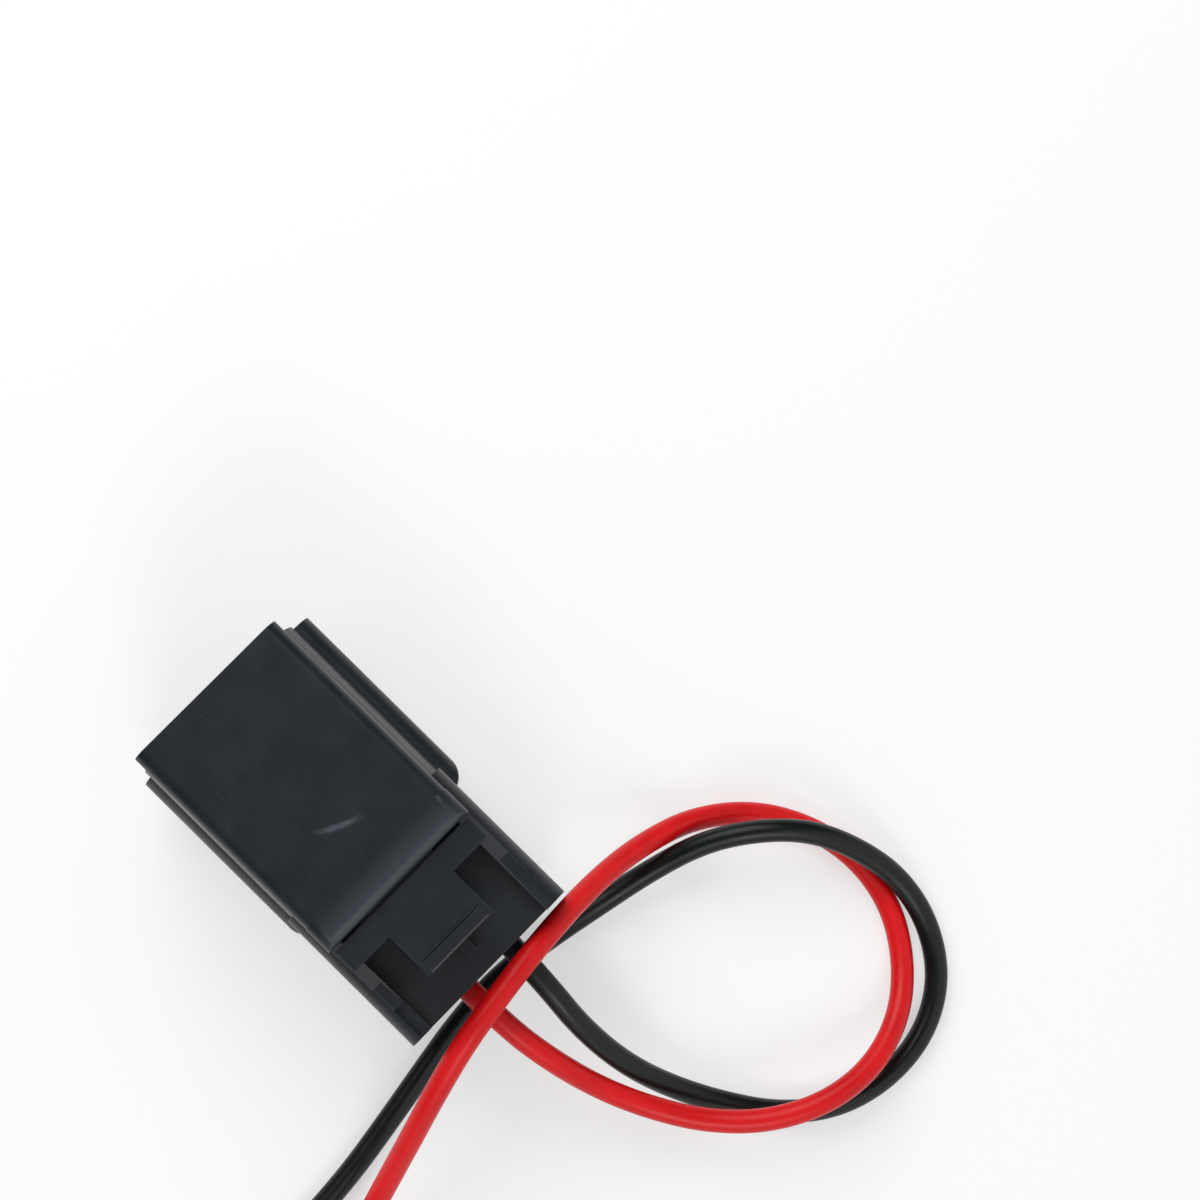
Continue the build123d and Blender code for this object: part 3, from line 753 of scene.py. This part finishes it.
@dataclass
class Wire:
    """One free wire of the tail, from the face of its seal to its cut end."""

    side: Side
    route: tuple[Point, ...]
    length: float
    diameter: float = 2.4 * MM
    strand: float = 0.23 * MM
    strand_pitch: float = 0.25 * MM
    strand_reach: float = 0.05 * MM
    strand_rings: tuple[int, ...] = (1, 6, 12)

    def cut_strands(self) -> bpy.types.Object:
        """Make the copper strands that show in the cut end, nineteen in three rings.

        Returns:
            The object with the strands.
        """
        before, end = (Vector(place) for place in self.route[-2:])
        along = (end - before).normalized()
        turn = along.to_track_quat("Z", "Y").to_matrix().to_4x4()
        depth = 2 * self.diameter
        middle = end + along * (self.strand_reach - depth / 2)
        shape = bmesh.new()
        for ring, count in enumerate(self.strand_rings):
            for number in range(count):
                spin = Matrix.Rotation(2 * pi * number / count, 4, "Z")
                offset = Matrix.Translation((ring * self.strand_pitch, 0.0, 0.0))
                bmesh.ops.create_cone(
                    shape, cap_ends=True, segments=10, radius1=self.strand / 2, radius2=self.strand / 2,
                    depth=depth, matrix=Matrix.Translation(middle) @ turn @ spin @ offset)
        name = f"cut_strands_{self.side.word}"
        return placed(name, bpy.data.meshes.new(name), shape)

    def build(self) -> None:
        word = self.side.word
        curve = bpy.data.curves.new(f"free_wire_{word}", "CURVE")
        curve.dimensions = "3D"
        curve.bevel_depth = self.diameter / 2
        curve.bevel_resolution = 8
        curve.resolution_u = 10
        curve.use_fill_caps = True
        spline = curve.splines.new("NURBS")
        spline.points.add(len(self.route) - 1)
        for control, place in zip(spline.points, self.route):
            control.co = (*place, 1.0)
        spline.order_u = 3
        spline.use_endpoint_u = True
        piece = placed(f"free_wire_{word}", curve)
        coat, slot = COATS[self.side]
        finish_piece(piece, bpy.data.materials[coat.name], slot, f"wire_{word}")
        strands = self.cut_strands()
        finish_piece(strands, COPPER.material(), Slot.TERMINAL)


# Routes of the two wires, from the housing's rear to the cut end
LIE = -0.01044
RED_ROUTE = (
    (0.003, 0.0372, 0.0008), (0.003, 0.0429, 0.0008), (0.0023, 0.0485, -0.0011),
    (0.001, 0.054, -0.0038), (-0.0011, 0.0592, -0.0053), (-0.0041, 0.0643, -0.0055),
    (-0.0083, 0.0687, -0.005), (-0.0138, 0.0718, -0.0048), (-0.0198, 0.073, -0.0062),
    (-0.0257, 0.0718, -0.0086), (-0.0303, 0.0684, -0.01), (-0.0336, 0.0635, LIE),
    (-0.0347, 0.0575, LIE), (-0.0335, 0.0515, LIE), (-0.0304, 0.0462, -0.0103),
    (-0.0255, 0.0423, -0.0091), (-0.0201, 0.0404, -0.0065), (-0.015, 0.0395, -0.0029),
    (-0.0099, 0.0393, 0.0012), (-0.0045, 0.0395, 0.0047), (0.0013, 0.0401, 0.0065),
    (0.0072, 0.041, 0.0062), (0.0128, 0.0425, 0.0038), (0.0177, 0.044, 0.0002),
    (0.0247, 0.0461, -0.0056), (0.0343, 0.049, -0.0098), (0.0446, 0.052, LIE),
)
BLACK_ROUTE = (
    (-0.003, 0.0372, 0.0008), (-0.0027, 0.0429, 0.0008), (-0.0021, 0.0485, -0.0014),
    (-0.0025, 0.0541, -0.0046), (-0.004, 0.0593, -0.0078), (-0.0065, 0.0646, -0.0099),
    (-0.0099, 0.0698, LIE), (-0.0145, 0.0737, LIE), (-0.0202, 0.0755, LIE),
    (-0.0263, 0.0752, LIE), (-0.0316, 0.0724, LIE), (-0.035, 0.0675, -0.0102),
    (-0.0361, 0.0618, -0.0088), (-0.0349, 0.0562, -0.0067), (-0.0325, 0.0513, -0.0051),
    (-0.0284, 0.0473, -0.005), (-0.0239, 0.0445, -0.0064), (-0.0183, 0.0428, -0.0087),
    (-0.0121, 0.0415, -0.0102), (-0.0059, 0.0402, LIE), (0.0004, 0.0393, LIE),
    (0.0065, 0.0396, LIE), (0.0124, 0.0405, LIE), (0.0185, 0.0415, LIE),
    (0.0261, 0.0426, LIE), (0.036, 0.0429, LIE), (0.0457, 0.0416, LIE),
)


@dataclass(frozen=True)
class Lamp:
    """One square lamp that looks at the object: its place, width and power in watts."""

    name: str
    place: Point
    size: float
    power: float


@dataclass
class Studio:
    """Pale floor, soft light and the camera, high above the floor as in the photograph."""

    floor_level: float = -11.64 * MM
    floor_reach: float = 3.0
    camera_place: Point = (-5.4 * MM, 31.0 * MM, 253.14 * MM)
    camera_turn: Point = (6.35, -2.71, -225.64)
    lens: float = 75.6
    sky: float = 0.50
    zenith: float = 0.30
    zenith_rise: tuple[float, float] = (0.25, 0.85)
    front_glow: float = 0.06
    rear_glow: float = 1.15
    glow_rise: tuple[float, float] = (-0.05, 0.35)
    floor_white: float = 0.93
    floor_roughness: float = 0.9
    floor_start: float = 0.5
    shadow_reach: float = 0.10
    floor_end: float = 0.26
    lamps: tuple[Lamp, ...] = (
        Lamp("key_lamp", (-0.14, -0.34, 0.42), size=0.40, power=2.0),
        Lamp("glint_lamp", (0.25, 0.32, 0.40), size=0.20, power=0.7),
    )

    def build(self) -> None:
        """Make the camera, the floor, the sky and the lamps."""
        self.make_camera()
        self.make_floor()
        self.make_sky()
        for lamp in self.lamps:
            self.make_lamp(lamp)

    def make_camera(self) -> None:
        """Place the camera by the fitted position and angles."""
        data = bpy.data.cameras.new("camera")
        data.lens = self.lens
        data.clip_start = 0.005
        camera = placed("camera", data)
        camera.location = self.camera_place
        camera.rotation_euler = tuple(radians(turn) for turn in self.camera_turn)
        bpy.context.scene.camera = camera

    def make_floor(self) -> None:
        """Make a wide pale floor that stays white behind the object and keeps its shadow."""
        mesh = bpy.data.meshes.new("floor")
        shape = bmesh.new()
        bmesh.ops.create_grid(shape, x_segments=1, y_segments=1, size=self.floor_reach)
        bmesh.ops.translate(shape, verts=shape.verts, vec=Vector((0.0, 0.0, self.floor_level)))
        floor = placed("floor", mesh, shape)
        material = bpy.data.materials.new("pale_floor")
        material.use_nodes = True
        graph = Graph(material.node_tree)
        shader = material.node_tree.nodes["Principled BSDF"]
        shader.inputs["Base Color"].default_value = (*[self.floor_white] * 3, 1.0)
        shader.inputs["Roughness"].default_value = self.floor_roughness
        place = graph.add("ShaderNodeTexCoord").outputs["Object"]
        middle = (cad_low + cad_high) / 2
        offset = graph.add("ShaderNodeVectorMath", {0: place, 1: (middle.x, middle.y, self.floor_level)},
                           operation="DISTANCE").outputs["Value"]
        far = graph.fade(offset, self.shadow_reach, self.floor_end, self.floor_start, 1.0)
        white = graph.add("ShaderNodeEmission", {"Color": WHITE, "Strength": 1.0})
        mix = graph.add("ShaderNodeMixShader", {
            0: graph.math("MULTIPLY", far, graph.math("MAXIMUM", *self.seen(graph))),
            1: shader.outputs["BSDF"], 2: white.outputs["Emission"]})
        output = material.node_tree.nodes["Material Output"]
        graph.tree.links.new(mix.outputs["Shader"], output.inputs["Surface"])
        mesh.materials.append(material)

    def seen(self, graph: Graph) -> tuple[bpy.types.NodeSocket, bpy.types.NodeSocket]:
        """Tell which rays show a background.

        Args:
            graph: the graph of the floor's or the sky's shader.

        Returns:
            Two sockets of 1 or 0: seen by the camera, and mirrored or seen through glass.
        """
        path = graph.add("ShaderNodeLightPath")
        mirrored = graph.math("MAXIMUM", path.outputs["Is Glossy Ray"], path.outputs["Is Transmission Ray"])
        return path.outputs["Is Camera Ray"], mirrored

    def make_sky(self) -> None:
        """Make the even light from all round, with a background that is white where it is looked at.

        In mirrored rays it glows most behind the connector, as a lit backdrop does.
        """
        world = bpy.data.worlds.new("studio")
        world.use_nodes = True
        graph = Graph(world.node_tree)
        background = world.node_tree.nodes["Background"]
        direction = graph.add("ShaderNodeTexCoord").outputs["Generated"]
        axes = graph.add("ShaderNodeSeparateXYZ", {"Vector": direction}).outputs
        shown = graph.fade(axes["Z"], *self.zenith_rise, 1.0, self.zenith)
        glow = graph.fade(axes["Y"], *self.glow_rise, self.front_glow, self.rear_glow)
        seen, mirrored = self.seen(graph)
        either = graph.math("MAXIMUM", seen, mirrored)
        lit = graph.math("MULTIPLY", graph.math("SUBTRACT", 1.0, either), self.sky)
        strength = graph.math("ADD", lit, graph.math("MULTIPLY", seen, shown))
        strength = graph.math("ADD", strength, graph.math("MULTIPLY", mirrored, glow))
        graph.tree.links.new(strength, background.inputs["Strength"])
        background.inputs["Color"].default_value = WHITE
        bpy.context.scene.world = world

    def make_lamp(self, lamp: Lamp) -> None:
        """Hang a lamp and turn it to the object.

        Args:
            lamp: the lamp.
        """
        data = bpy.data.lights.new(lamp.name, "AREA")
        data.size = lamp.size
        data.energy = lamp.power
        item = placed(lamp.name, data)
        middle = (cad_low + cad_high) / 2
        item.location = lamp.place
        item.rotation_euler = (middle - Vector(lamp.place)).to_track_quat("-Z", "Y").to_euler()


def main() -> None:
    """Build the scene in order: studio, connector, contacts, wires."""
    logging.basicConfig(level=logging.INFO, format="%(message)s")
    bpy.context.scene.view_settings.view_transform = "Standard"
    Studio().build()
    ConnectorBody().build()
    Contacts().build()
    Wire(Side.RED, RED_ROUTE, length=0.1707).build()
    Wire(Side.BLACK, BLACK_ROUTE, length=0.1664).build()


if __name__ == "__main__":
    main()
